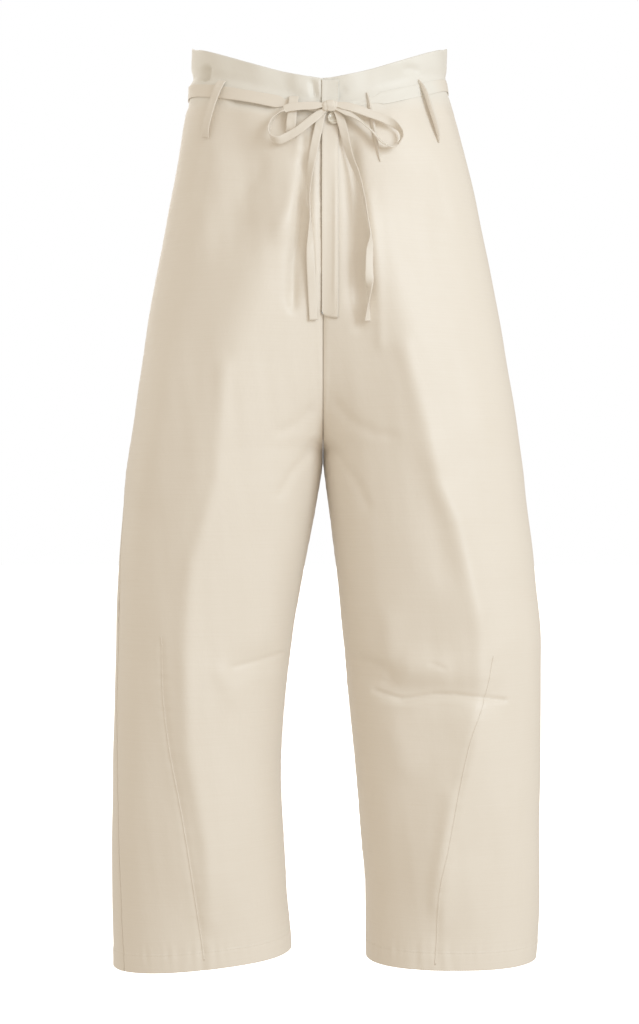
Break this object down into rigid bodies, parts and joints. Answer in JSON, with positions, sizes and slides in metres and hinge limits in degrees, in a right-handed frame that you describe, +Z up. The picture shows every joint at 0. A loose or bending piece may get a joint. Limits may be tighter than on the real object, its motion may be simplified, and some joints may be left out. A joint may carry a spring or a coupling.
{
  "type": "pair of barrel-leg trousers with a paper-bag waist and a tie",
  "caption": "Barrel-leg trousers with a gathered paper-bag waist, a thin tie in a bow, a fly and long belt loops, filled out as worn and hollow.",
  "frame": {"origin": "centre of the waist, at the height of the tie belt at the sides", "axes": "+Z up towards the top edge, -Y the front, +X the wearer's left"},
  "size_m": [0.4665, 0.2753, 0.992],
  "materials": {
    "silk": "ivory silk with a faint cross rib and a soft sheen",
    "shell": "polished pale shell"
  },
  "bodies": {
    "root": {"front_right": "silk", "back_right": "silk", "front_left": "silk", "back_left": "silk", "fly_placket": "silk", "waist_button": "shell", "tie_belt": "silk", "tie_knot": "silk", "belt_loop_front_right_outer": "silk", "belt_loop_front_right_inner": "silk", "belt_loop_front_left_inner": "silk", "belt_loop_front_left_outer": "silk", "belt_loop_back_right": "silk", "belt_loop_back_centre": "silk", "belt_loop_back_left": "silk", "tie_bow_right": "silk", "tie_bow_left": "silk", "tie_tail_right": "silk", "tie_tail_left": "silk"}
  },
  "joints": []
}
